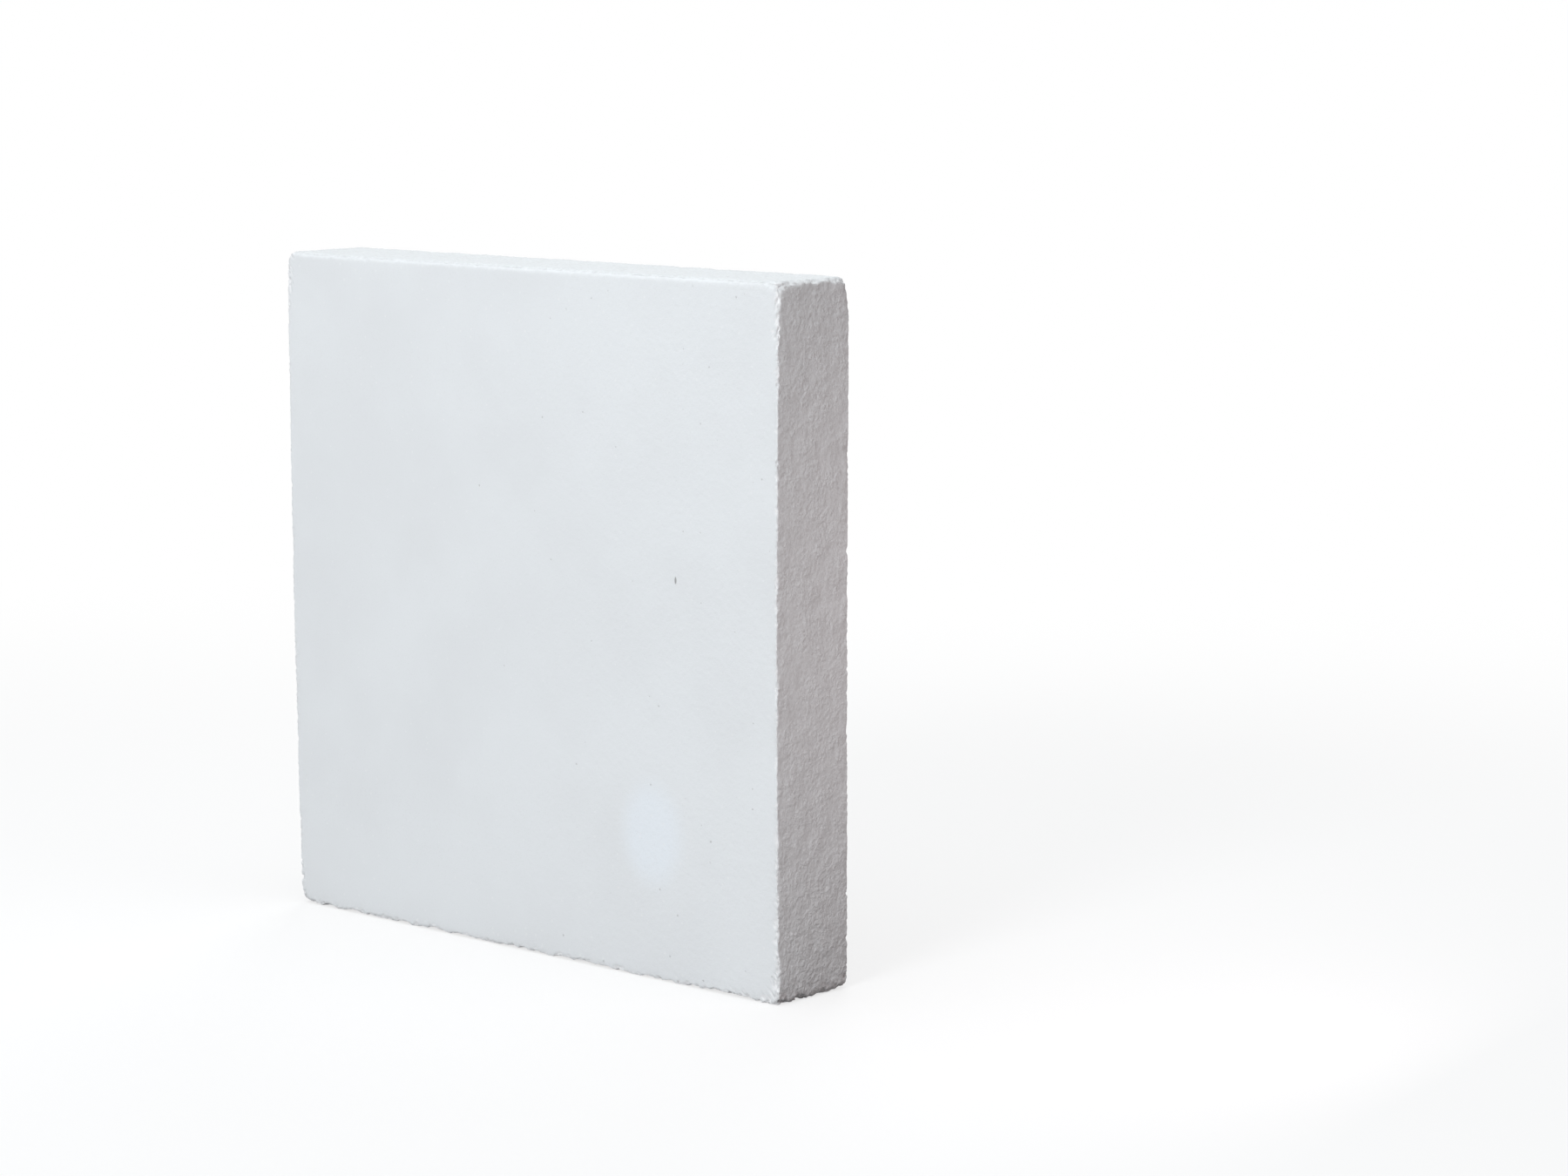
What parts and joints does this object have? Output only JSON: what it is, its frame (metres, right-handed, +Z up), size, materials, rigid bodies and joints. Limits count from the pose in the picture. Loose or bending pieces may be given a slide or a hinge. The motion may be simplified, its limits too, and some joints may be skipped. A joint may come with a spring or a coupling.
{
  "type": "refractory oven slab",
  "caption": "Square plate of pressed, fired white fireclay with smooth faces, grainy edges and eased arrises, laid as the floor or lining of an oven.",
  "frame": {"origin": "middle of the narrow edge that the slab stands on", "axes": "+Z up along the slab's height, X along its width, Y through its thickness with the oven face looking along -Y"},
  "size_m": [0.4, 0.06, 0.4],
  "materials": {
    "fireclay": "matte"
  },
  "bodies": {
    "root": {"oven_slab": "fireclay"}
  },
  "joints": []
}
